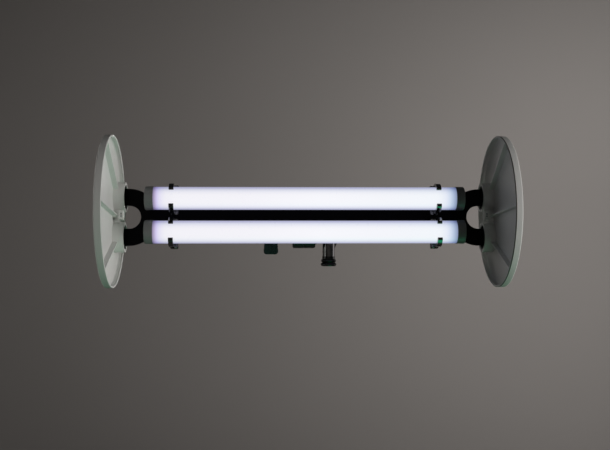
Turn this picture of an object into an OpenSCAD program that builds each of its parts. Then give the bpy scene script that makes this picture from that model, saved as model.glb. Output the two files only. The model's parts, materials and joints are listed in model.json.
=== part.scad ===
// Twin LED light tube: two round tubes clipped side by side on a black forked spine plate,
// a pull-off end disc plugged on each fork, and a tilting grip head with a 16 mm stand socket.
// Row frame: origin at the centre of the socket's mouth, +X along the tubes, +Y to the back,
// +Z up the socket. The head (everything that tilts) is drawn in its own frame, whose origin
// lies midway between the two tube axes, and head_place() puts it in the row frame.

/* [Light tubes] */
// Outer diameter of the diffuser of each tube
tube_d = 43; // [41:0.5:43]
// Overall length of each tube with its end caps
tube_len = 602; // [590:1:604]
// Distance between the two tube axes
tube_pitch = 64; // [64:0.5:66]
// Length of each end cap
cap_len = 16; // [14:1:18]

/* [Spine plate] */
// Thickness of the spine plate
plate_t = 7; // [6:0.5:8]
// Height of the bar between the forks
bar_h = 38; // [30:1:44]
// Distance from the middle to the centre of each fork
fork_x = 334; // [332:1:336]
// Outer radius of each fork
fork_r = 54.5; // [52:0.5:55]
// Inner radius of each fork
fork_gap_r = 22.4; // [21:0.2:23]

/* [End discs] */
// Outer radius of each end disc
disc_r = 139.5; // [130:0.5:142]
// Distance from the disc's centre forwards from the tube axes
disc_front = 44; // [40:1:46]
// Distance from the middle to the disc's inner edge
disc_x = 352; // [350:1:354]
// Width of the disc's rim along the tubes
rim_w = 12.5; // [11:0.5:14]

/* [Clips] */
// Distance from the middle to the centre of each clip band
clip_x = 251; // [240:1:260]
// Width of a clip band
clip_w = 9; // [7:0.5:10]
// Half of the angle between the centres of a clip's rounded tips
clip_open = 39; // [36:1:46]

/* [Grip head] */
// Tilt of the head at rest, front upwards
tilt = 8; // [0:1:15]
// Radius of the stand socket's bore, for a 16 mm spigot
socket_r = 8.1; // [8.05:0.01:8.15]
// Depth of the stand socket's bore
socket_depth = 50; // [45:1:52]
// Radius of the grip jaws
jaw_r = 31; // [30:0.5:32]
// Height of the tilt axis above the socket's mouth
pivot_z = 66.5; // [66:0.5:70]

/* [Hidden] */
$fn = 64;
gap = 0.3;                      // free space between moving neighbours
run_gap = 0.05;                 // radial clearance of a running fit
head_x = -49;                   // head's middle from the socket's axis
pivot_y = 82;                   // tilt axis behind the tube axes
pivot_drop = 22;                // tilt axis below the head's middle
tube_r = tube_d / 2;
tube_wall = 1.5;
cap_r = tube_r + 0.8;
cap_skirt = 5;                  // how far a cap covers its diffuser
half_tube = tube_len / 2;
button_r = 4.5;
button_z = 9;                   // power button's centre above the tube's axis
dial_r = 6.5;
dial_z = -7;                    // dimmer dial's centre above the tube's axis
dial_axle_r = 2;
diffuser_half = half_tube - cap_len + cap_skirt;
clip_ri = tube_r + gap;
clip_t = 6.5;                    // thickness of the clip's fingers
foot_y = clip_ri + 0.1;         // front face of the clip's foot
foot_t = 2.8;
foot_w = 14.5;
foot_half = 28.4;               // half height of the clip's foot
plate_y = foot_y + foot_t;      // front face of the spine plate
plate_mid = plate_y + plate_t / 2;
ear = 25.4;                     // screw distance from the tube's axis
screw_x = clip_x - 6;
tap_r = 1.5;
leg_z = (fork_r + fork_gap_r) / 2;
leg_h = fork_r - fork_gap_r;
rim_t = 2.6;
floor_t = 2.8;
floor_x = disc_x + rim_w - floor_t;
leg_end = floor_x - 1;
cup_ri = 23.2;
cup_ro = 28.6;
cup_x = disc_x - 11;
bush_x = cup_x + 2;
keeper_x = disc_x - 2.5;        // outer face of the keeper between the cups
keeper_t = 9;
keeper_front = -4;              // front face of the keeper
rib_t = 2.4;
stud_r = 8;
stud_len = 86;
flange_t = 5;
jaw_gap = 0.4;                  // from the head's middle to each jaw
jaw_t = 21.7;                   // thickness of each jaw
friction_r = jaw_r - 8;         // outer radius of the friction disc
friction_t = 2.5;               // thickness of the friction disc
spring_seat = 2;                // depth of the spring's counterbore in each jaw
spring_r = 9;
bolt_r = 5;
handle_w = 28.5;
handle_len = 86;
handle_t = 13;
handle_x = -79;                 // far end of the clamp handle, from the head's middle
lock_z = 27;                    // height of the lock screw
lock_r = 4;
collar_z = 19.5;                // top of the rings round the socket
body_r = 12;

BLACK = [0.03, 0.03, 0.032];
GREY = [0.62, 0.64, 0.60];
DARK = [0.16, 0.17, 0.17];
STEEL = [0.55, 0.56, 0.57];
GLOW = [0.95, 0.95, 1.0];
BOARD = [0.05, 0.25, 0.14];
HANDLE = [0.02, 0.09, 0.06];

// ---- placing helpers ----

// From the head's frame to the row frame.
module head_place() {
    translate([head_x, 0, pivot_z]) rotate([-tilt, 0, 0])
        translate([0, -pivot_y, pivot_drop]) children();
}

// Places a tube that is drawn round the X axis: side is 1 for the upper and -1 for the lower.
module tube_place(side) {
    head_place() translate([0, 0, side * tube_pitch / 2]) children();
}

// Mirrors a right-hand shape to the left when side is -1.
module hand(side) {
    mirror([side < 0 ? 1 : 0, 0, 0]) children();
}

// Cylinder along X from x0 to x1.
module x_rod(r, x0, x1) {
    translate([x0, 0, 0]) rotate([0, 90, 0]) cylinder(r = r, h = x1 - x0);
}

// Cylinder along Y from y0 to y1.
module y_rod(r, y0, y1) {
    translate([0, y0, 0]) rotate([-90, 0, 0]) cylinder(r = r, h = y1 - y0);
}

// Ring round X from x0 to x1.
module x_ring(ro, ri, x0, x1) {
    difference() {
        x_rod(ro, x0, x1);
        x_rod(ri, x0 - 1, x1 + 1);
    }
}

// Solid of revolution round X: profile is drawn as [radius, distance along X].
module x_turned() {
    rotate([0, 90, 0]) rotate_extrude() children();
}

// Block given by its lowest and highest corners.
module block(lo, hi) {
    translate(lo) cube(hi - lo);
}

// Rectangle w by h with corners of radius r, round the origin.
module round_rect(w, h, r) {
    square([w - 2 * r, h], center = true);
    square([w, h - 2 * r], center = true);
    for (sx = [-1, 1]) for (sy = [-1, 1])
        translate([sx * (w / 2 - r), sy * (h / 2 - r)]) circle(r = r);
}

// Turns a drawing in the XZ plane into a plate from y0 to y1.
module xz_plate(y0, y1) {
    translate([0, y1, 0]) rotate([90, 0, 0]) linear_extrude(y1 - y0) children();
}

// Pan-head screw along +Y: the head's seat is at y = 0, with a crossed recess.
module pan_screw(head_r, head_h, shank_r, length) {
    difference() {
        union() {
            translate([0, -head_h / 2, 0]) rotate([-90, 0, 0]) cylinder(r = head_r, h = head_h / 2);
            translate([0, -head_h, 0]) rotate([-90, 0, 0])
                cylinder(r1 = head_r * 0.7, r2 = head_r, h = head_h / 2);
            y_rod(shank_r, -0.1, length);
        }
        translate([0, -head_h, 0]) for (turn = [45, 135]) rotate([0, turn, 0])
            cube([head_r * 1.2, head_h, head_r * 0.26], center = true);
    }
}

// ---- spine plate and clips ----

// Positions of the screws that hold the flange, in the XZ plane.
flange_holes = [for (x = [-27, 27]) for (z = [-12.5, 12.5]) [x, z]];

// Blend between the bar and the round fork, above and below the bar.
module fork_fillets() {
    fillet_r = 20;
    centre_z = bar_h / 2 + fillet_r;
    reach = sqrt(pow(fork_r + fillet_r, 2) - pow(centre_z, 2));
    share = fork_r / (fork_r + fillet_r);
    difference() {
        polygon([
            [fork_x - reach, -centre_z], [fork_x - reach * share, -centre_z * share], [fork_x, 0],
            [fork_x - reach * share, centre_z * share], [fork_x - reach, centre_z]
        ]);
        for (side = [-1, 1]) translate([fork_x - reach, side * centre_z]) circle(r = fillet_r);
    }
}

// One end of the spine plate, in the XZ plane: round fork, two legs and the ears for the clips.
module spine_end() {
    difference() {
        union() {
            translate([fork_x, 0]) circle(r = fork_r, $fn = 128);
            fork_fillets();
            for (side = [-1, 1])
                translate([fork_x, side * leg_z - leg_h / 2]) square([leg_end - fork_x, leg_h]);
        }
        translate([leg_end, -fork_r - 1]) square([fork_r, 2 * fork_r + 2]);
    }
    translate([clip_x + clip_w / 2 - foot_w / 2, 0])
        round_rect(foot_w, tube_pitch + 2 * foot_half, 2);
}

module spine_plate() {
    color(BLACK) head_place() difference() {
        xz_plate(plate_y, plate_y + plate_t) {
            square([2 * fork_x - fork_r, bar_h], center = true);
            spine_end();
            mirror([1, 0]) spine_end();
        }
        for (side = [-1, 1]) hand(side) {
            translate([fork_x, 0, 0]) y_rod(fork_gap_r, plate_y - 1, plate_y + plate_t + 1);
            block([fork_x, plate_y - 1, -fork_gap_r], [leg_end + 1, plate_y + plate_t + 1, fork_gap_r]);
            for (tz = [-1, 1]) for (ez = [-1, 1])
                translate([screw_x, 0, tz * tube_pitch / 2 + ez * ear])
                    y_rod(tap_r, plate_y - 1, plate_y + plate_t + 1);
        }
        for (at = flange_holes) translate([at.x, 0, at.y])
            y_rod(2.05, plate_y + 1.5, plate_y + plate_t + 1);
    }
}

// Snap clip: two thick fingers round the tube with round tips, and a flat foot with two ears.
module clip(side, tz) {
    x0 = clip_x - clip_w / 2;
    color(BLACK) head_place() hand(side) translate([0, 0, tz * tube_pitch / 2]) difference() {
        union() {
            intersection() {
                x_ring(clip_ri + clip_t, clip_ri, x0, x0 + clip_w);
                difference() {
                    block([x0, -40, -40], [x0 + clip_w, plate_y, 40]);
                    translate([x0 - 1, 0, 0]) rotate([90, 0, 90]) linear_extrude(clip_w + 2) polygon([
                        [0, 0], [-60 * cos(clip_open), 60 * sin(clip_open)], [-60, 0],
                        [-60 * cos(clip_open), -60 * sin(clip_open)]
                    ]);
                }
            }
            for (a = [-clip_open, clip_open]) rotate([a, 0, 0])
                translate([0, -clip_ri - clip_t / 2, 0]) x_rod(clip_t / 2 - 0.15, x0, x0 + clip_w);
            xz_plate(foot_y, foot_y + foot_t)
                translate([clip_x + clip_w / 2 - foot_w / 2, 0]) round_rect(foot_w, 2 * foot_half, 2);
        }
        for (ez = [-1, 1]) translate([screw_x, 0, ez * ear])
            y_rod(tap_r + 0.1, foot_y - 1, foot_y + foot_t + 1);
    }
}

// All screws that hold the clips to the spine plate.
module clip_screws() {
    color(STEEL) head_place() for (side = [-1, 1]) hand(side)
        for (tz = [-1, 1]) for (ez = [-1, 1])
            translate([screw_x, foot_y, tz * tube_pitch / 2 + ez * ear])
                pan_screw(2.75, 1.8, tap_r - 0.05, foot_t + plate_t - 1);
}

// ---- light tubes, drawn round the X axis ----

module diffuser(side) {
    color(GLOW) tube_place(side) x_ring(tube_r, tube_r - tube_wall, -diffuser_half, diffuser_half);
}

// Shared body of an end cap at the +X end: skirt over the diffuser, spigot inside it.
module cap_blank() {
    inner_r = tube_r - tube_wall - 0.1;
    union() {
        x_rod(cap_r, diffuser_half, half_tube - 1.2);
        translate([half_tube - 1.2, 0, 0]) rotate([0, 90, 0])
            cylinder(r1 = cap_r, r2 = cap_r - 1.2, h = 1.2);
        x_ring(cap_r, tube_r + 0.05, diffuser_half - cap_skirt, diffuser_half + 0.5);
        x_ring(inner_r, inner_r - 2.5, diffuser_half - 12, diffuser_half + 0.5);
    }
}

// Left cap: seats for the power button and the dimmer dial.
module cap_left(side) {
    color(DARK) tube_place(side) mirror([1, 0, 0]) difference() {
        cap_blank();
        translate([0, 0, button_z]) x_rod(button_r + gap, half_tube - 4, half_tube + 1);
        translate([0, 0, dial_z]) x_rod(dial_r + gap, half_tube - 4, half_tube + 1);
        translate([0, 0, dial_z]) x_rod(dial_axle_r + run_gap, half_tube - 9, half_tube - 3);
    }
}

// Right cap: slot for the charging port.
module cap_right(side) {
    color(DARK) tube_place(side) difference() {
        cap_blank();
        translate([half_tube - 6.5, 0, 0]) rotate([90, 0, 90]) linear_extrude(10)
            round_rect(10.4, 4.6, 2.2);
    }
}

// Power button, standing 0.8 mm proud of the left cap.
module power_button(side) {
    color(STEEL) tube_place(side) mirror([1, 0, 0]) translate([0, 0, button_z]) {
        x_rod(button_r, half_tube - 2, half_tube + 0.3);
        translate([half_tube + 0.3, 0, 0]) rotate([0, 90, 0])
            cylinder(r1 = button_r, r2 = button_r - 0.5, h = 0.5);
    }
}

// Dimmer dial with a grooved rim, in the left cap.
module dimmer_dial(side) {
    color(BLACK) tube_place(side) mirror([1, 0, 0]) translate([0, 0, dial_z]) {
        difference() {
            x_rod(dial_r, half_tube - 3.5, half_tube + 1.5);
            for (a = [0:20:340]) rotate([a, 0, 0]) translate([0, dial_r + 0.4, 0])
                x_rod(0.7, half_tube + 0.1, half_tube + 2);
            block([half_tube + 1, -0.5, 2], [half_tube + 2, 0.5, 5.6]);
        }
        x_rod(dial_axle_r, half_tube - 8.5, half_tube - 3.4);
    }
}

// Charging port shell with its tongue, in the right cap.
module charge_port(side) {
    color(STEEL) tube_place(side) translate([half_tube - 6.4, 0, 0]) rotate([90, 0, 90]) {
        linear_extrude(5.8) difference() {
            round_rect(10.2, 4.4, 2.1);
            round_rect(9, 3.2, 1.5);
        }
        linear_extrude(0.8) round_rect(9.4, 3.6, 1.7);
        translate([-3.4, -0.35, 0.7]) cube([6.8, 0.7, 4.4]);
    }
}

// Aluminium carrier: flat web for the LED board, side shoes that follow the tube, and fins.
module heatsink(side) {
    ri = tube_r - tube_wall - 0.4;
    half = diffuser_half - 14;
    color(STEEL) tube_place(side) translate([-half, 0, 0]) rotate([90, 0, 90])
        linear_extrude(2 * half) {
            intersection() {
                circle(r = ri);
                union() {
                    translate([3, -ri]) square([2.4, 2 * ri]);
                    for (s = [-1, 1]) translate([3, s > 0 ? 15 : -ri]) square([7, ri - 15]);
                }
            }
        }
}

module led_board(side) {
    half = diffuser_half - 16;
    color(BOARD) tube_place(side) block([-half, 1.4, -12], [half, 3, 12]);
}

// Rows of LED packages on the front of the board.
module leds(side) {
    count = 36;
    step = 15.2;
    color(GLOW) tube_place(side) for (i = [0 : count - 1]) for (row = [-5, 5])
        translate([(i - (count - 1) / 2) * step, 0.7, row]) cube([5, 1.4, 5], center = true);
}

module battery(side) {
    color([0.1, 0.2, 0.5]) tube_place(side) difference() {
        block([-200, 5.5, -13], [20, 14, 13]);
        for (x = [-127, -53]) block([x, 13.4, -14], [x + 1.2, 15, 14]);
    }
}

// Driver board with its parts.
module driver_board(side) {
    color(BOARD) tube_place(side) {
        block([60, 6.6, -12], [200, 8.2, 12]);
        block([75, 8.1, -8], [95, 12.5, 6]);
        block([120, 8.1, -6], [134, 10.4, 8]);
        translate([160, 8.1, -4]) rotate([-90, 0, 0]) cylinder(r = 4, h = 6);
        translate([178, 8.1, 4]) rotate([-90, 0, 0]) cylinder(r = 4, h = 6);
    }
}

// ---- end discs, drawn for the right side ----

// A rib from the hub point [y, z] to the rim point [y, z], standing on the floor.
module rib(from, to) {
    run = to - from;
    translate([disc_x, from.x, from.y]) rotate([atan2(run.y, run.x), 0, 0])
        translate([0, 0, -rib_t / 2]) cube([floor_x - disc_x + 1, norm(run), rib_t]);
}

// Point [y, z] on the rim's inner wall where a line from a point at an angle meets it.
function on_rim(from, angle) =
    let (
        dir = [cos(angle), sin(angle)],
        rel = from - [-disc_front, 0],
        along = rel * dir,
        t = -along + sqrt(pow(along, 2) - rel * rel + pow(disc_r - rim_t / 2, 2))
    ) from + t * dir;

// Arc from angle a0 to a1 round a centre, as points.
function arc(centre, r, a0, a1, steps = 6) =
    [for (i = [0 : steps]) centre + r * [cos(a0 + (a1 - a0) * i / steps), sin(a0 + (a1 - a0) * i / steps)]];

// Section of the disc's floor and rim, as [radius, distance along X], with a rounded outer edge.
module disc_section() {
    edge_r = 2.4;
    corner_r = 3;
    back = floor_x + floor_t;
    wall = disc_r - rim_t;
    polygon(concat(
        [[0, floor_x]],
        arc([wall - corner_r, floor_x - corner_r], corner_r, 90, 0),
        [[wall, disc_x], [disc_r, disc_x]],
        arc([disc_r - edge_r, back - edge_r], edge_r, 0, 90),
        [[0, back]]
    ));
}

// End disc. The front rib runs from the keeper to the rim at its own angle on each side.
module disc_body(front_rib) {
    hub_y = plate_mid;
    difference() {
        union() {
            translate([0, -disc_front, 0]) x_turned() {
                disc_section();
                translate([disc_r - rim_t / 2 - 0.4, disc_x + 0.9]) circle(r = 1.7);
                translate([disc_r - 24, floor_x + floor_t - 0.5]) square([3, 1.6]);
                translate([disc_r - 60, floor_x + floor_t - 0.5]) square([2, 1.3]);
            }
            for (s = [-1, 1]) translate([0, hub_y, s * leg_z]) x_rod(cup_ro, cup_x, floor_x + 1);
            for (s = [-1, 1]) rib([hub_y, s * leg_z], on_rim([hub_y, s * leg_z], s * 153.3));
            rib([hub_y, 0], on_rim([hub_y, 0], front_rib));
            block([keeper_x, keeper_front + 2, -3], [floor_x + 1, keeper_front + 10, 3]);
            block([keeper_x, hub_y - 15, -12], [floor_x + 1, hub_y - 12.5, 12]);
        }
        for (s = [-1, 1]) translate([0, hub_y, s * leg_z]) {
            x_rod(cup_ri, cup_x - 1, floor_x);
            for (dy = [-14, 14]) translate([0, dy, 0]) x_rod(1.7, floor_x - 1, floor_x + floor_t + 1);
        }
    }
}

module end_disc(side) {
    color(GREY) head_place() hand(side) disc_body(side > 0 ? 182.6 : 180.2);
}

// Rubber bushes that grip the fork's legs inside the cups.
module socket_bushes(side) {
    color(BLACK) head_place() hand(side) for (s = [-1, 1])
        translate([0, plate_mid, s * leg_z]) difference() {
            x_rod(cup_ri - 0.05, bush_x, floor_x);
            block([bush_x - 1, -plate_t / 2 - gap, -leg_h / 2 - gap],
                [leg_end + gap, plate_t / 2 + gap, leg_h / 2 + gap]);
            for (dy = [-14, 14]) translate([0, dy, 0]) x_rod(1.5, floor_x - 8, floor_x + 1);
        }
}

// Small keeper between the cups, with two screws facing the front.
module hub_keeper(side) {
    color(GREY) head_place() hand(side) difference() {
        block([keeper_x - keeper_t, keeper_front, -8.5], [keeper_x, keeper_front + 11, 8.5]);
        for (z = [-2.4, 2.4]) translate([keeper_x - keeper_t / 2, keeper_front, z]) {
            y_rod(1.1, 0, 10);
            y_rod(2, -1, 2);
        }
    }
}

// Keeper screws, and the screws that hold the bushes from outside.
module hub_screws(side) {
    color(STEEL) head_place() hand(side) {
        for (z = [-2.4, 2.4])
            translate([keeper_x - keeper_t / 2, keeper_front + 2, z]) pan_screw(1.7, 1.2, 1, 7);
        for (s = [-1, 1]) for (dy = [-14, 14])
            translate([floor_x + floor_t, plate_mid + dy, s * leg_z]) rotate([0, 0, 90])
                pan_screw(3.4, 2, 1.4, floor_t + 7);
    }
}

// ---- stud, jaws and clamp ----

module stud_flange() {
    color(BLACK) head_place() difference() {
        union() {
            xz_plate(plate_y + plate_t, plate_y + plate_t + flange_t) round_rect(70, 36, 5);
            y_rod(13, plate_y + plate_t + flange_t - 0.1, plate_y + plate_t + flange_t + 6);
        }
        y_rod(stud_r, plate_y + plate_t - 1, plate_y + plate_t + flange_t + 8);
        for (at = flange_holes) translate([at.x, 0, at.y])
            y_rod(2.2, plate_y + plate_t - 1, plate_y + plate_t + flange_t + 1);
    }
}

module flange_screws() {
    color(STEEL) head_place() for (at = flange_holes)
        translate([at.x, plate_y + plate_t + flange_t, at.y]) rotate([0, 0, 180])
            pan_screw(4, 2.6, 2, flange_t + plate_t - 2);
}

// Round stud with a waist near its free end, pressed into the flange.
module mounting_stud() {
    color(STEEL) head_place() translate([0, plate_y + plate_t, 0]) rotate([-90, 0, 0])
        rotate_extrude() polygon([
            [0, 0], [stud_r, 0], [stud_r, stud_len - 16], [stud_r - 1.4, stud_len - 14],
            [stud_r - 1.4, stud_len - 7], [stud_r, stud_len - 5],
            [stud_r, stud_len - 1], [stud_r - 1, stud_len], [0, stud_len]
        ]);
}

// Moves a shape drawn round the tilt axis, in the head's frame, into place.
module pivot_place() {
    head_place() translate([0, pivot_y, -pivot_drop]) children();
}

// Grip jaw on the +X side: a chamfered disc with a V groove for the stud across its face.
module jaw_blank() {
    v = (stud_r + 0.03) * sqrt(2);
    difference() {
        union() {
            x_rod(jaw_r, jaw_gap + 0.4, jaw_gap + jaw_t - 2);
            translate([jaw_gap, 0, 0]) rotate([0, 90, 0])
                cylinder(r1 = jaw_r - 0.4, r2 = jaw_r, h = 0.4);
            translate([jaw_gap + jaw_t - 2, 0, 0]) rotate([0, 90, 0])
                cylinder(r1 = jaw_r, r2 = jaw_r - 2, h = 2);
        }
        x_rod(bolt_r + run_gap, 0, jaw_gap + jaw_t + 1);
        x_rod(spring_r + gap, 0, jaw_gap + spring_seat);
        translate([0, 0, pivot_drop]) rotate([0, 45, 0])
            cube([v * sqrt(2), 2 * jaw_r + 2, v * sqrt(2)], center = true);
    }
}

module jaw_inner() {
    color(STEEL) pivot_place() jaw_blank();
}

module jaw_outer() {
    color(STEEL) pivot_place() mirror([1, 0, 0]) jaw_blank();
}

// Spring washer that parts the jaws when the clamp is loose.
module jaw_spring() {
    color(STEEL) pivot_place()
        x_ring(spring_r, bolt_r + 0.4, -jaw_gap - spring_seat, jaw_gap + spring_seat);
}

module friction_disc() {
    x0 = jaw_gap + jaw_t;
    color(BLACK) pivot_place() x_ring(friction_r, bolt_r + run_gap, x0, x0 + friction_t);
}

// Moves a shape drawn round the tilt axis, in the row frame, into place.
module axle_place() {
    translate([head_x, 0, pivot_z]) children();
}

// Bolt along the tilt axis, fixed in the socket body, with a hex head at the right.
module clamp_bolt() {
    color(STEEL) axle_place() {
        x_rod(bolt_r, handle_x + 14, -head_x + body_r + 2.5);
        translate([-head_x + body_r + 2.4, 0, 0]) rotate([0, 90, 0]) cylinder(r = 9, h = 6, $fn = 6);
    }
}

// Thrust washer between the outer jaw and the clamp handle.
module thrust_washer() {
    color(STEEL) axle_place() {
        x_ring(16, bolt_r + run_gap, -jaw_gap - jaw_t - 6.5, -jaw_gap - jaw_t - 4.4);
        x_ring(14, bolt_r + run_gap, -jaw_gap - jaw_t - 4.5, -jaw_gap - jaw_t - gap);
    }
}

// Outline of the clamp handle's cross bar: waisted in the middle, with round corners.
module handle_outline() {
    corner = 6;
    half = handle_w / 2;
    waist = half - 2.5;
    end = handle_len / 2 - corner - 1;
    polygon([
        [half - 0.3, -end], [waist, 0], [half - 0.3, end],
        [0.3 - half, end], [-waist, 0], [0.3 - half, -end]
    ]);
    for (s = [-1, 1]) translate([0, s * end]) round_rect(handle_w, 2 * corner + 2, corner);
}

// Clamp handle: a tapered hub on the bolt and a flat cross bar.
module clamp_handle() {
    hub_x = -jaw_gap - jaw_t - 6.5 - gap;
    color(HANDLE) axle_place() difference() {
        union() {
            translate([handle_x + 6, 0, 0]) rotate([0, 90, 0])
                cylinder(r1 = 12, r2 = 9, h = hub_x - handle_x - 6);
            xz_plate(-handle_t / 2, handle_t / 2)
                translate([handle_x + handle_w / 2, 0]) handle_outline();
        }
        x_rod(bolt_r + run_gap, handle_x + 10, hub_x + 1);
    }
}

// ---- stand socket, in the row frame ----

module socket_body() {
    color(STEEL) difference() {
        union() {
            cylinder(r = body_r - 1, h = collar_z + 1);
            translate([0, 0, collar_z]) cylinder(r = body_r, h = pivot_z + 9 - collar_z);
            translate([0, 0, pivot_z + 9]) cylinder(r1 = body_r, r2 = body_r - 3, h = 3);
            axle_place() {
                x_rod(13, jaw_gap + jaw_t + friction_t + gap, -head_x + body_r + 2.4);
                x_rod(20, jaw_gap + jaw_t + friction_t + gap, jaw_gap + jaw_t + 9);
            }
            translate([0, 0, lock_z]) y_rod(7, 0, body_r + 4);
        }
        translate([0, 0, -1]) cylinder(r = socket_r, h = socket_depth + 1);
        axle_place() x_rod(bolt_r + run_gap, 0, -head_x + 20);
        translate([0, 0, lock_z]) y_rod(lock_r + run_gap, socket_r - 2, body_r + 6);
    }
}

module socket_bead_ring() {
    color(BLACK) rotate_extrude() difference() {
        union() {
            translate([body_r - 1, 7.2]) square([1.7, 12.2]);
            translate([body_r - 0.6, 10.8]) circle(r = 3.5);
        }
        square([body_r - 1, 40]);
        square([30, 7.2]);
    }
}

module socket_foot_ring() {
    color(BLACK) rotate_extrude() difference() {
        union() {
            translate([body_r - 1, 0.2]) square([1.6, 6.8]);
            translate([body_r + 0.2, 3.6]) circle(r = 3.4);
        }
        square([body_r - 1, 40]);
    }
}

// Lock screw for the spigot: its tip stops short of the bore.
module lock_screw() {
    color(STEEL) translate([0, 0, lock_z]) y_rod(lock_r, socket_r + 0.4, 36);
}

// Lever on the lock screw: a round hub and a tapered arm that leans to the right.
module lock_lever() {
    hub_r = 10;
    arm = 42;
    tip_r = 9.5;
    lean = 24;
    y0 = body_r + 4 + gap + 3;
    color(HANDLE) translate([0, 0, lock_z]) difference() {
        union() {
            y_rod(hub_r, y0, 33);
            rotate([0, lean, 0]) xz_plate(y0 + 4, 32) {
                polygon([[0.3 - hub_r, 0], [hub_r - 0.3, 0], [tip_r - 0.3, arm], [0.3 - tip_r, arm]]);
                translate([0, arm]) circle(r = tip_r);
            }
        }
        y_rod(lock_r, y0 - 1, 40);
    }
}

// ---- the part ----

spine_plate();
clip(-1, 1);  // clip_upper_left
clip(1, 1);  // clip_upper_right
clip(-1, -1);  // clip_lower_left
clip(1, -1);  // clip_lower_right
clip_screws();
diffuser(1);  // diffuser_upper
cap_left(1);  // cap_upper_left
cap_right(1);  // cap_upper_right
heatsink(1);  // heatsink_upper
led_board(1);  // led_board_upper
leds(1);  // leds_upper
battery(1);  // battery_upper
driver_board(1);  // driver_board_upper
power_button(1);  // power_button_upper
dimmer_dial(1);  // dimmer_dial_upper
charge_port(1);  // charge_port_upper
diffuser(-1);  // diffuser_lower
cap_left(-1);  // cap_lower_left
cap_right(-1);  // cap_lower_right
heatsink(-1);  // heatsink_lower
led_board(-1);  // led_board_lower
leds(-1);  // leds_lower
battery(-1);  // battery_lower
driver_board(-1);  // driver_board_lower
power_button(-1);  // power_button_lower
dimmer_dial(-1);  // dimmer_dial_lower
charge_port(-1);  // charge_port_lower
end_disc(-1);  // end_disc_left
socket_bushes(-1);  // socket_bushes_left
hub_keeper(-1);  // hub_keeper_left
hub_screws(-1);  // hub_screws_left
end_disc(1);  // end_disc_right
socket_bushes(1);  // socket_bushes_right
hub_keeper(1);  // hub_keeper_right
hub_screws(1);  // hub_screws_right
stud_flange();
flange_screws();
mounting_stud();
jaw_inner();
jaw_outer();
jaw_spring();
friction_disc();
clamp_bolt();
thrust_washer();
clamp_handle();
socket_body();
socket_bead_ring();
socket_foot_ring();
lock_screw();
lock_lever();
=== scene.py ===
import json
import math

import bmesh
import bpy
from mathutils import Matrix, Vector


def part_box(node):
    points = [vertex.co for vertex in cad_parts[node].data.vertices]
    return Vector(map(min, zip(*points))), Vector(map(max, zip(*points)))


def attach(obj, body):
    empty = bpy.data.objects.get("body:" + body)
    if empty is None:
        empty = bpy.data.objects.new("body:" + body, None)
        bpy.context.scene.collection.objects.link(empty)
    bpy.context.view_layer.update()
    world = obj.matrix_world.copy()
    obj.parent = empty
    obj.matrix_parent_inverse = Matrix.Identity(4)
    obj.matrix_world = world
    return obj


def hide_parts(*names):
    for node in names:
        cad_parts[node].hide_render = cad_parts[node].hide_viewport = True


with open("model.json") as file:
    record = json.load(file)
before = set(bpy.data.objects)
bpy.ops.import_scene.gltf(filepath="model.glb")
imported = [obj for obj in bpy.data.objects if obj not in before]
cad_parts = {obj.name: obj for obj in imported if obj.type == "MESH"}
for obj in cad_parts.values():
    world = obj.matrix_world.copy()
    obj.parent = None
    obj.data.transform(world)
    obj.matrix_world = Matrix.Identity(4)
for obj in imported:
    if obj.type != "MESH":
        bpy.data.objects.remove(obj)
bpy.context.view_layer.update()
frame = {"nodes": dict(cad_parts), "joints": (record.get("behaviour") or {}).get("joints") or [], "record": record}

MM = 0.001
ROWS = ("upper", "lower")

# ---- places taken from the frame ----

joints = {joint["name"]: joint for joint in frame["joints"]}
TUBE_AT = {row: Vector(joints["tube_roll_" + row]["pos_m"]) for row in ROWS}
HEAD_UP = (TUBE_AT["upper"] - TUBE_AT["lower"]).normalized()
HEAD_RIGHT = Vector((1, 0, 0))
HEAD_BACK = HEAD_UP.cross(HEAD_RIGHT)
HEAD_MIDDLE = (TUBE_AT["upper"] + TUBE_AT["lower"]) / 2
# The end discs' centres stand in front of the tubes and this far out from the middle.
DISC_FORWARD = 0.044
DISC_REACH = 0.355
DISC_AXIS = HEAD_MIDDLE - HEAD_BACK * DISC_FORWARD
RIGHT_DISC = DISC_AXIS + HEAD_RIGHT * DISC_REACH


def head_matrix(origin):
    """The head's axes (X along the tubes, Y to the back, Z up) at a point of the row frame."""
    matrix = Matrix((HEAD_RIGHT, HEAD_BACK, HEAD_UP)).transposed().to_4x4()
    matrix.translation = origin
    return matrix


def radius_of(node):
    """Radius of a CAD node that is round about X."""
    low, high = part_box(node)
    return (high.z - low.z) / 2


# ---- materials ----


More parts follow.
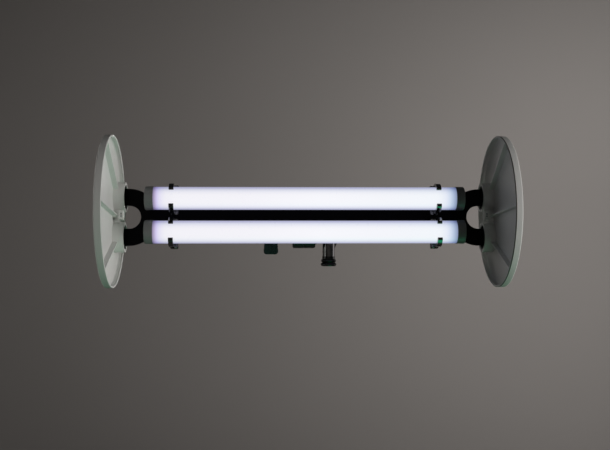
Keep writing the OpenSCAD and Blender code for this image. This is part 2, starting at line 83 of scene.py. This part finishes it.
class Shade:
    """A material under construction: one Principled shader and the nodes that feed it."""

    def __init__(self, name, color, roughness, metallic=0.0, **constants):
        self.material = bpy.data.materials.new(name)
        self.material.use_nodes = True
        self.tree = self.material.node_tree
        self.shader = self.tree.nodes["Principled BSDF"]
        self.set("Base Color", (*color, 1.0))
        self.set("Roughness", roughness)
        self.set("Metallic", metallic)
        for socket, value in constants.items():
            self.set(socket.replace("_", " "), value)

    def set(self, socket, value):
        self.shader.inputs[socket].default_value = value

    def add(self, kind, inputs=None, **settings):
        """A new node with its settings and with its inputs set or linked by name or number."""
        node = self.tree.nodes.new("ShaderNode" + kind)
        for key, value in settings.items():
            setattr(node, key, value)
        for key, value in (inputs or {}).items():
            if isinstance(value, bpy.types.NodeSocket):
                self.tree.links.new(value, node.inputs[key])
            else:
                node.inputs[key].default_value = value
        return node

    def to(self, socket, output):
        self.tree.links.new(output, self.shader.inputs[socket])

    def place(self, stretch=(1, 1, 1)):
        """Object coordinates, squeezed or stretched along the axes."""
        coordinates = self.add("TexCoord").outputs["Object"]
        return self.add("Mapping", {"Vector": coordinates, "Scale": stretch}).outputs["Vector"]

    def noise(self, size, detail=3.0, stretch=(1, 1, 1)):
        """Noise whose patches are about size metres across."""
        inputs = {"Vector": self.place(stretch), "Scale": 1 / size, "Detail": detail}
        return self.add("TexNoise", inputs).outputs["Fac"]

    def span(self, value, from_low, from_high, low, high):
        """value rescaled from one range to another, clamped."""
        inputs = {"Value": value, "From Min": from_low, "From Max": from_high,
                  "To Min": low, "To Max": high}
        return self.add("MapRange", inputs).outputs["Result"]

    def blend(self, factor, low, high):
        """A colour between two colours, by a factor that is a socket."""
        node = self.add("Mix", data_type="RGBA")
        self.tree.links.new(factor, node.inputs["Factor"])
        for name, value in (("A", low), ("B", high)):
            socket = next(s for s in node.inputs if s.name == name and s.type == "RGBA")
            if isinstance(value, bpy.types.NodeSocket):
                self.tree.links.new(value, socket)
            else:
                socket.default_value = (*value, 1.0)
        return next(s for s in node.outputs if s.type == "RGBA")

    def math(self, operation, a, b):
        return self.add("Math", {0: a, 1: b}, operation=operation).outputs[0]

    def edges(self, radius):
        """1 along convex and concave edges, 0 on flat faces."""
        rounded = self.add("Bevel", {"Radius": radius}, samples=4).outputs["Normal"]
        flat = self.add("NewGeometry").outputs["Normal"]
        likeness = self.add("VectorMath", {0: rounded, 1: flat}, operation="DOT_PRODUCT")
        return self.span(likeness.outputs["Value"], 0.98, 0.8, 0.0, 1.0)

    def bumps(self, *layers):
        """Bump from (height socket, depth in metres) layers, one over the other."""
        normal = None
        for height, depth in layers:
            node = self.add("Bump", {"Height": height, "Distance": depth, "Strength": 1.0})
            if normal is not None:
                self.tree.links.new(normal, node.inputs["Normal"])
            normal = node.outputs["Normal"]
        self.to("Normal", normal)


def black_powder():
    """Matte black coat of the spine plate and the flange, faintly worn along its edges."""
    s = Shade("black_powder_coat", (0.0014, 0.0012, 0.002), 0.5, Specular_IOR_Level=0.07)
    patches = s.noise(0.03)
    coat = s.blend(patches, (0.0008, 0.0007, 0.0013), (0.002, 0.0018, 0.003))
    worn = s.math("MULTIPLY", s.edges(0.0006), s.span(s.noise(0.006), 0.45, 0.7, 0.0, 0.6))
    s.to("Base Color", s.blend(worn, coat, (0.02, 0.02, 0.022)))
    s.to("Roughness", s.span(patches, 0.3, 0.7, 0.42, 0.6))
    s.bumps((s.noise(0.0009, 2.0), 0.00006), (s.noise(0.004), 0.00008))
    return s.material


def gloss_black(name, coat):
    """Moulded glossy black plastic; coat is the weight of its mirror-like skin."""
    s = Shade(name, (0.004, 0.005, 0.005), 0.15,
              Coat_Weight=coat, Coat_Roughness=0.05, Coat_IOR=1.9)
    smears = s.noise(0.012)
    s.to("Base Color", s.blend(smears, (0.002, 0.003, 0.003), (0.005, 0.006, 0.006)))
    s.to("Roughness", s.span(s.noise(0.004, 5.0), 0.3, 0.75, 0.1, 0.2))
    s.bumps((s.noise(0.003), 0.000008))
    return s.material


# The painted shade line's place behind the disc's outer face, its dark half width, and where it has faded out.
LIP_SHADE_FROM_FACE = 0.0133
LIP_SHADE_HALF_WIDTH = 0.0006
LIP_SHADE_FADE = 0.0009


def painted_lip_shade(s):
    """1 on a thin line of painted shade along the lip of the right end disc, outside, and 0 elsewhere."""
    low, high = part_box("end_disc_right")
    disc_radius = radius_of("end_disc_right")
    lip_shade_at = high.x - HEAD_MIDDLE.x - LIP_SHADE_FROM_FACE
    centre = (HEAD_MIDDLE.x, (low.y + high.y) / 2, (low.z + high.z) / 2)
    offset = s.add("VectorMath", {0: s.place(), 1: centre}, operation="SUBTRACT").outputs["Vector"]
    across = s.add("VectorMath", {0: offset, 1: (0, 1, 1)}, operation="MULTIPLY").outputs["Vector"]
    radius = s.add("VectorMath", {0: across}, operation="LENGTH").outputs["Value"]
    along = s.add("SeparateXYZ", {"Vector": offset}).outputs["X"]
    gap = s.math("ABSOLUTE", s.math("SUBTRACT", along, lip_shade_at), 0.0)
    outside = s.span(radius, disc_radius - 0.0009, disc_radius - 0.0004, 0.0, 1.0)
    return s.math("MULTIPLY", s.span(gap, LIP_SHADE_HALF_WIDTH, LIP_SHADE_FADE, 1.0, 0.0), outside)


def disc_plastic():
    """Light grey moulded plastic of the end discs: satin, with a fine grain and faint smears, and a line of
    painted shade along the right disc's lip.
    """
    s = Shade("disc_plastic", (0.74, 0.745, 0.72), 0.42, Specular_IOR_Level=0.4)
    broad = s.noise(0.09, 2.0)
    shade = s.blend(s.span(broad, 0.3, 0.7, 0.0, 1.0), (0.72, 0.725, 0.7), (0.76, 0.765, 0.74))
    grime = s.math("MULTIPLY", s.edges(0.003), s.span(s.noise(0.03), 0.45, 0.8, 0.0, 0.2))
    # Painted shade: a dark line along the outside of the right disc's lip. The bump also sinks it as a shallow
    # groove.
    lip_shade = painted_lip_shade(s)
    s.to("Base Color", s.blend(lip_shade, s.blend(grime, shade, (0.5, 0.5, 0.47)), (0.03, 0.03, 0.03)))
    s.to("Roughness", s.span(s.noise(0.03), 0.3, 0.7, 0.38, 0.46))
    s.bumps((s.noise(0.0007, 2.0), 0.000008), (s.noise(0.05, 1.0), 0.00002),
            (s.span(lip_shade, 0.0, 1.0, 1.0, 0.0), 0.0003))
    return s.material


def cap_plastic():
    """Satin dark grey plastic of the end caps."""
    s = Shade("cap_plastic", (0.17, 0.178, 0.176), 0.46)
    s.to("Base Color", s.blend(s.noise(0.015), (0.16, 0.168, 0.166), (0.185, 0.192, 0.19)))
    s.to("Roughness", s.span(s.noise(0.003, 4.0), 0.3, 0.7, 0.34, 0.5))
    s.bumps((s.noise(0.0006, 2.0), 0.00004))
    return s.material


def rubber():
    """Dull black rubber of the bushes."""
    s = Shade("bush_rubber", (0.012, 0.012, 0.012), 0.8, Specular_IOR_Level=0.3)
    s.to("Base Color", s.blend(s.noise(0.01), (0.008, 0.008, 0.008), (0.02, 0.02, 0.019)))
    s.to("Roughness", s.span(s.noise(0.004), 0.3, 0.7, 0.7, 0.92))
    s.bumps((s.noise(0.001), 0.00008))
    return s.material


def metal(name, light, roughness, grain, stretch=(1, 1, 1)):
    """Bare metal with fine drawn lines or turning marks along the unstretched axes."""
    s = Shade(name, (light, light, light * 1.01), roughness, 1.0)
    dull = s.span(s.noise(0.01, 4.0), 0.35, 0.7, 0.0, 1.0)
    s.to("Base Color", s.blend(dull, (light,) * 3, (light * 0.82, light * 0.82, light * 0.83)))
    lines = s.noise(grain, 3.0, stretch)
    s.to("Roughness", s.span(lines, 0.3, 0.7, roughness * 0.7, roughness * 1.4))
    s.bumps((s.noise(grain, 2.0, stretch), 0.00002))
    return s.material


def dark_casting():
    """Black painted casting of the grip jaws, chipped a little along the edges; its green tint is in part painted
    reflection of the green light from below.
    """
    # The base colours' green tint is in part painted reflection of the green light from below.
    s = Shade("dark_casting", (0.006, 0.016, 0.012), 0.35, Coat_Weight=0.2, Coat_Roughness=0.25)
    paint_with_green_reflection = s.blend(s.noise(0.02), (0.003, 0.013, 0.009), (0.009, 0.02, 0.015))
    chips = s.math("MULTIPLY", s.edges(0.0008), s.span(s.noise(0.005), 0.5, 0.62, 0.0, 1.0))
    s.to("Base Color", s.blend(chips, paint_with_green_reflection, (0.2, 0.21, 0.21)))
    s.to("Roughness", s.span(s.noise(0.006), 0.3, 0.7, 0.28, 0.48))
    s.bumps((s.noise(0.0016), 0.00006), (s.noise(0.008), 0.00012))
    return s.material


def handle_plastic():
    """Black plastic of the clamp handle and the lock lever, tinted dark green; the tint is in part painted
    reflection of the green light from below.
    """
    s = Shade("handle_plastic", (0.003, 0.03, 0.022), 0.3, Coat_Weight=0.3, Coat_Roughness=0.12)
    # Green tint of the base colours: in part painted reflection of the green light from below.
    s.to("Base Color", s.blend(s.noise(0.01), (0.0015, 0.022, 0.016), (0.004, 0.036, 0.027)))
    s.to("Roughness", s.span(s.noise(0.005, 4.0), 0.3, 0.7, 0.22, 0.42))
    s.bumps((s.noise(0.0012), 0.00005))
    return s.material


def circuit_board():
    """Green lacquered circuit board with darker tracks."""
    s = Shade("circuit_board", (0.02, 0.12, 0.06), 0.3)
    wave = {"Vector": s.place(), "Scale": 160.0, "Distortion": 4.0, "Detail": 1.0}
    tracks = s.add("TexWave", wave).outputs["Fac"]
    s.to("Base Color", s.blend(tracks, (0.01, 0.08, 0.04), (0.03, 0.16, 0.08)))
    s.to("Roughness", s.span(s.noise(0.003), 0.3, 0.7, 0.2, 0.4))
    s.bumps((tracks, 0.00004))
    return s.material


def cell_wrap():
    """Blue shrink wrap of the battery."""
    s = Shade("cell_wrap", (0.03, 0.07, 0.3), 0.3)
    s.to("Base Color", s.blend(s.noise(0.01), (0.02, 0.05, 0.24), (0.05, 0.1, 0.36)))
    s.to("Roughness", s.span(s.noise(0.004), 0.3, 0.7, 0.2, 0.45))
    s.bumps((s.noise(0.006), 0.0002))
    return s.material


def led_package():
    """Cream LED packages on the boards."""
    s = Shade("led_package", (0.9, 0.82, 0.5), 0.35)
    s.to("Base Color", s.blend(s.noise(0.002), (0.8, 0.7, 0.38), (0.95, 0.9, 0.66)))
    s.to("Roughness", s.span(s.noise(0.001), 0.3, 0.7, 0.25, 0.45))
    s.bumps((s.noise(0.0015), 0.00005))
    return s.material


def fibre():
    """Brown-black pressed fibre of the friction disc."""
    s = Shade("friction_fibre", (0.05, 0.045, 0.04), 0.85)
    s.to("Base Color", s.blend(s.noise(0.0015, 5.0), (0.03, 0.026, 0.022), (0.09, 0.08, 0.065)))
    s.to("Roughness", s.span(s.noise(0.003), 0.3, 0.7, 0.75, 0.95))
    s.bumps((s.noise(0.001), 0.0001))
    return s.material


def diffuser_glow():
    """Lit opal tube. UV: u runs along the tube and v round it, with v = 0.5 at the front."""
    s = Shade("diffuser_glow", (0.1, 0.1, 0.105), 0.3)
    uv = s.add("SeparateXYZ", {"Vector": s.add("TexCoord").outputs["UV"]})
    along, round_it = uv.outputs["X"], uv.outputs["Y"]
    tint = s.add("ValToRGB", {"Fac": along})
    fill_ramp(tint, [
        (0.0, (0.08, 0.07, 0.1)), (0.009, (0.22, 0.18, 0.3)), (0.015, (0.43, 0.36, 0.56)),
        (0.022, (0.63, 0.57, 0.84)), (0.028, (0.71, 0.68, 0.86)), (0.036, (0.78, 0.76, 0.88)),
        (0.048, (0.84, 0.83, 0.89)), (0.08, (0.87, 0.86, 0.91)), (0.3, (0.88, 0.87, 0.92)),
        (0.55, (0.91, 0.91, 0.955)), (0.75, (0.895, 0.905, 0.95)), (0.925, (0.88, 0.91, 0.955)),
        (0.94, (0.85, 0.885, 0.94)), (0.956, (0.78, 0.82, 0.92)), (0.969, (0.62, 0.7, 0.84)),
        (0.979, (0.44, 0.53, 0.7)), (0.987, (0.3, 0.37, 0.54)), (1.0, (0.05, 0.06, 0.1)),
    ])
    board_faces = 0.464
    turn = s.math("ABSOLUTE", s.math("SUBTRACT", round_it, board_faces), 0.0)
    falloff = s.add("ValToRGB", {"Fac": turn})
    fill_ramp(falloff, [
        (0.0, (1, 1, 1)), (0.06, (0.99, 0.99, 0.99)), (0.1, (0.92, 0.925, 0.955)),
        (0.133, (0.79, 0.81, 0.87)), (0.155, (0.66, 0.68, 0.78)), (0.18, (0.51, 0.52, 0.68)),
        (0.22, (0.4, 0.41, 0.55)), (0.26, (0.3, 0.3, 0.38)), (0.34, (0.14, 0.14, 0.17)),
        (0.54, (0.05, 0.05, 0.06)),
    ])
    lit = s.add("Mix", {0: 1.0}, data_type="RGBA", blend_type="MULTIPLY")
    colors = [socket for socket in lit.inputs if socket.type == "RGBA"]
    s.tree.links.new(tint.outputs["Color"], colors[0])
    s.tree.links.new(falloff.outputs["Color"], colors[1])
    s.to("Emission Color", next(o for o in lit.outputs if o.type == "RGBA"))
    s.set("Emission Strength", 1.0)
    s.to("Roughness", s.span(s.noise(0.01), 0.3, 0.7, 0.25, 0.4))
    s.bumps((s.noise(0.002), 0.00002))
    return s.material


def fill_ramp(node, stops):
    """Sets a colour ramp's stops from (position, (red, green, blue)) pairs."""
    elements = node.color_ramp.elements
    while len(elements) < len(stops):
        elements.new(0.5)
    for element, (position, color) in zip(elements, stops):
        element.position = position
        element.color = (*color, 1.0)


MATERIALS = {
    "black_plate": black_powder(),
    "black_metal": black_powder(),
    "black_plastic": gloss_black("gloss_black_plastic", 1.0),
    "collar_plastic": gloss_black("collar_plastic", 0.15),
    "disc_plastic": disc_plastic(),
    "keeper_plastic": disc_plastic(),
    "diffuser": diffuser_glow(),
    "cap_plastic": cap_plastic(),
    "dial_plastic": cap_plastic(),
    "rubber_bush": rubber(),
    "carrier": metal("carrier_aluminium", 0.75, 0.35, 0.002, (0.05, 1, 1)),
    "board": circuit_board(),
    "led": led_package(),
    "cell": cell_wrap(),
    "button_metal": metal("turned_steel", 0.6, 0.28, 0.001, (0.1, 1, 1)),
    "steel": metal("zinc_steel", 0.5, 0.3, 0.003),
    "chrome": metal("chrome", 0.32, 0.09, 0.0015),
    "jaw_metal": dark_casting(),
    "handle_plastic": handle_plastic(),
    "friction_fibre": fibre(),
}

# ---- making pieces ----


def put(name, mesh_data, slot, body, replaced):
    """Adds a finished mesh in place of a CAD node, on its body and with a slot's material."""
    piece = bpy.data.objects.new(name, mesh_data)
    bpy.context.scene.collection.objects.link(piece)
    mesh_data.materials.append(MATERIALS[slot])
    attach(piece, body)
    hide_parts(replaced)


def rounded_path(corners, steps=5):
    """Points of a path whose corners (a, b, radius) are rounded by arcs."""
    points = []
    for index, (a, b, radius) in enumerate(corners):
        here = Vector((a, b))
        if radius == 0 or index in (0, len(corners) - 1):
            points.append(here)
            continue
        before = (Vector(corners[index - 1][:2]) - here).normalized()
        after = (Vector(corners[index + 1][:2]) - here).normalized()
        half = before.angle(after) / 2
        reach = radius / math.tan(half)
        centre = here + (before + after).normalized() * (radius / math.sin(half))
        start = here + before * reach - centre
        turn = (here + after * reach - centre).angle_signed(start)
        for step in range(steps + 1):
            angle = turn * step / steps
            points.append(centre + Matrix.Rotation(angle, 2) @ start)
    return points


def lathe(profile, place, segments=96, closed=True, uv=False):
    """Mesh of (radius, x) points turned round the local X axis; place is the local frame."""
    mesh = bmesh.new()
    rings = []
    for radius, x in profile:
        ring = []
        for k in range(segments):
            turn = 2 * math.pi * k / segments
            point = Vector((x, -radius * math.cos(turn), radius * math.sin(turn)))
            ring.append(mesh.verts.new(place @ point))
        rings.append(ring)
    layer = mesh.loops.layers.uv.new("UVMap") if uv else None
    span = len(rings) if closed else len(rings) - 1
    low = min(x for _, x in profile)
    length = max(x for _, x in profile) - low
    for i in range(span):
        one, two = rings[i], rings[(i + 1) % len(rings)]
        for k in range(segments):
            n = (k + 1) % segments
            face = mesh.faces.new((one[k], one[n], two[n], two[k]))
            face.smooth = True
            if layer:
                corners = ((i, k), (i, k + 1), (i + 1, k + 1), (i + 1, k))
                for loop, (row, turn) in zip(face.loops, corners):
                    x = profile[row % len(profile)][1]
                    loop[layer].uv = ((x - low) / length, (turn / segments + 0.5) % 1.0001)
    bmesh.ops.remove_doubles(mesh, verts=mesh.verts, dist=1e-7)
    bmesh.ops.recalc_face_normals(mesh, faces=mesh.faces)
    data = bpy.data.meshes.new("lathe")
    mesh.to_mesh(data)
    mesh.free()
    data.set_sharp_from_angle(angle=math.radians(40))
    return data


def make_diffuser(row):
    """Opal tube with many rings near its ends, where the light fades."""
    node = "diffuser_" + row
    low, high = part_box(node)
    radius = radius_of(node)
    wall = 1.5 * MM
    middle = (low.x + high.x) / 2
    half = (high.x - low.x) / 2
    rings = 60
    inner_step = 6
    outer = [(radius, -half * math.cos(math.pi * i / rings)) for i in range(rings + 1)]
    inner = [(radius - wall, x) for _, x in reversed(outer[::inner_step])]
    place = head_matrix(Vector((middle, TUBE_AT[row].y, TUBE_AT[row].z)))
    glow = lathe(outer + inner, place, uv=True)
    put("glow_tube_" + row, glow, "diffuser", "tube_" + row, node)


# ---- CAD nodes that stay: fine edges and their materials ----

# Bevel widths in millimetres by material slot. Every slot not named takes FINE_EDGE.
EDGE_WIDTHS = {
    "disc_plastic": 0.6, "keeper_plastic": 0.5, "cap_plastic": 0.4, "black_plastic": 0.6,
    "black_plate": 0.5, "black_metal": 0.6, "chrome": 0.5, "jaw_metal": 0.7, "handle_plastic": 1.5,
}
FINE_EDGE = 0.2
WELD_DISTANCE = 1e-6
FLAT_ANGLE = math.radians(0.3)
EDGE_ANGLE = math.radians(35)


def refine(node, slot):
    """Gives a CAD node its material, and small bevels that catch the light."""
    node.data.materials.clear()
    node.data.materials.append(MATERIALS[slot])
    for polygon in node.data.polygons:
        polygon.use_smooth = True
    weld = node.modifiers.new("weld", "WELD")
    weld.merge_threshold = WELD_DISTANCE
    flatten = node.modifiers.new("flatten", "DECIMATE")
    flatten.decimate_type = "DISSOLVE"
    flatten.angle_limit = FLAT_ANGLE
    bevel = node.modifiers.new("edges", "BEVEL")
    bevel.width = EDGE_WIDTHS.get(slot, FINE_EDGE) * MM
    bevel.segments = 2
    bevel.limit_method = "ANGLE"
    bevel.angle_limit = EDGE_ANGLE
    bevel.use_clamp_overlap = True
    node.modifiers.new("normals", "WEIGHTED_NORMAL")


slots = {part["node"]: part["material_slot"] for part in frame["record"]["subparts"]}
for name, node in frame["nodes"].items():
    refine(node, slots[name])
for row in ROWS:
    make_diffuser(row)

# ---- studio ----


def stage_material():
    """Seamless paper of the floor and the backdrop."""
    s = Shade("seamless_paper", (0.42, 0.405, 0.39), 0.9, Specular_IOR_Level=0.1)
    s.to("Base Color", s.blend(s.noise(1.2, 2.0), (0.41, 0.397, 0.38), (0.44, 0.424, 0.41)))
    s.bumps((s.noise(0.01), 0.0002))
    return s.material


def make_backdrop():
    """Round seamless floor that curves up into a wall all round the object."""
    floor_z = -1.3
    wall_radius = 4.4
    corner = 1.6
    height = 3.2
    centre_hole = 0.001
    profile = [(centre_hole, floor_z, 0), (wall_radius, floor_z, corner), (wall_radius, height, 0)]
    path = rounded_path(profile, 24)
    upright = Matrix.Rotation(-math.pi / 2, 4, "Y")
    data = lathe([(p.x, p.y) for p in path], upright, segments=128, closed=False)
    backdrop = bpy.data.objects.new("backdrop", data)
    data.materials.append(stage_material())
    bpy.context.scene.collection.objects.link(backdrop)


def area_light(name, at, target, size, power, color=(1, 1, 1), spread=180, mirrored=True):
    """Soft rectangular light; spread is its beam in degrees, mirrored whether gloss shows it."""
    lamp = bpy.data.lights.new(name, "AREA")
    lamp.shape = "RECTANGLE"
    lamp.size, lamp.size_y = size
    lamp.energy = power
    lamp.color = color
    lamp.spread = math.radians(spread)
    holder = bpy.data.objects.new(name, lamp)
    holder.location = at
    holder.rotation_euler = (Vector(target) - Vector(at)).to_track_quat("-Z", "Y").to_euler()
    holder.visible_glossy = mirrored
    holder.visible_camera = False
    bpy.context.scene.collection.objects.link(holder)


def make_camera():
    """Camera at the photograph's place: straight on, a little to the left, level."""
    left, back_off, down = 0.07755, 1.7377, 0.0185
    turn_right = 0.044
    camera = bpy.data.cameras.new("camera")
    camera.lens = 54.4
    camera.sensor_width = 36.0
    holder = bpy.data.objects.new("camera", camera)
    holder.location = (HEAD_MIDDLE.x - left, HEAD_MIDDLE.y - back_off, HEAD_MIDDLE.z - down)
    holder.rotation_euler = (math.pi / 2, 0, -turn_right)
    bpy.context.scene.collection.objects.link(holder)
    bpy.context.scene.camera = holder


def make_world():
    world = bpy.data.worlds.new("studio")
    world.use_nodes = True
    background = world.node_tree.nodes["Background"]
    background.inputs["Color"].default_value = (0.95, 0.97, 1.0, 1.0)
    background.inputs["Strength"].default_value = 0.015
    bpy.context.scene.world = world


make_backdrop()
make_camera()
make_world()

SOFT_WHITE = (1.0, 0.98, 0.96)

# Lights on the object that gloss and chrome don't show.
area_light("key", (3.0, -1.5, 0.15), HEAD_MIDDLE, (1.8, 1.8), 5.8,
           (1.0, 0.98, 0.965), spread=40, mirrored=False)
area_light("edge", (0.75, -0.9, 0.3), RIGHT_DISC, (0.3, 0.3), 0.045,
           (1.0, 0.97, 0.98), spread=35, mirrored=False)
area_light("fill", (-2.2, -2.2, 0.2), HEAD_MIDDLE, (1.6, 1.6), 0.05,
           (0.97, 0.97, 1.0), spread=40, mirrored=False)
area_light("back_fill", (0.1, 1.6, 0.25), HEAD_MIDDLE, (0.9, 0.6), 2.2,
           SOFT_WHITE, spread=60, mirrored=False)
area_light("left_side", DISC_AXIS - HEAD_RIGHT * 3, DISC_AXIS, (0.25, 0.25), 1.0,
           SOFT_WHITE, spread=40, mirrored=False)

# Lights that gloss and chrome do show.
area_light("right_strip", (1.2, 0.15, 0.0), (0, 0.15, 0.03), (1.3, 0.3), 0.8, (1.0, 0.93, 0.93))
area_light("green_bounce", (0.15, -0.35, -0.9), HEAD_MIDDLE, (1.0, 0.6), 0.2,
           (0.04, 1.0, 0.45), spread=50)

# Washes on the backdrop and the floor.
area_light("wall_wash", (1.9, 1.2, 1.2), (1.1, 4.2, 0.15), (1.0, 1.0), 18,
           (1.0, 0.955, 0.935), spread=110)
area_light("left_wash", (-1.2, 1.6, 1.2), (-1.2, 4.2, 0.15), (1.0, 1.0), 0.6,
           (1.0, 0.96, 0.94), spread=120)
area_light("front_wash", (0, -2.2, 2.6), (0, -4.4, 0.6), (3.0, 1.0), 7, SOFT_WHITE, spread=130)
area_light("floor_wash", (0, -0.2, -0.45), (0, -0.2, -1.3), (2.4, 2.4), 1.3,
           SOFT_WHITE, spread=120)
bpy.context.scene.view_settings.view_transform = "Standard"
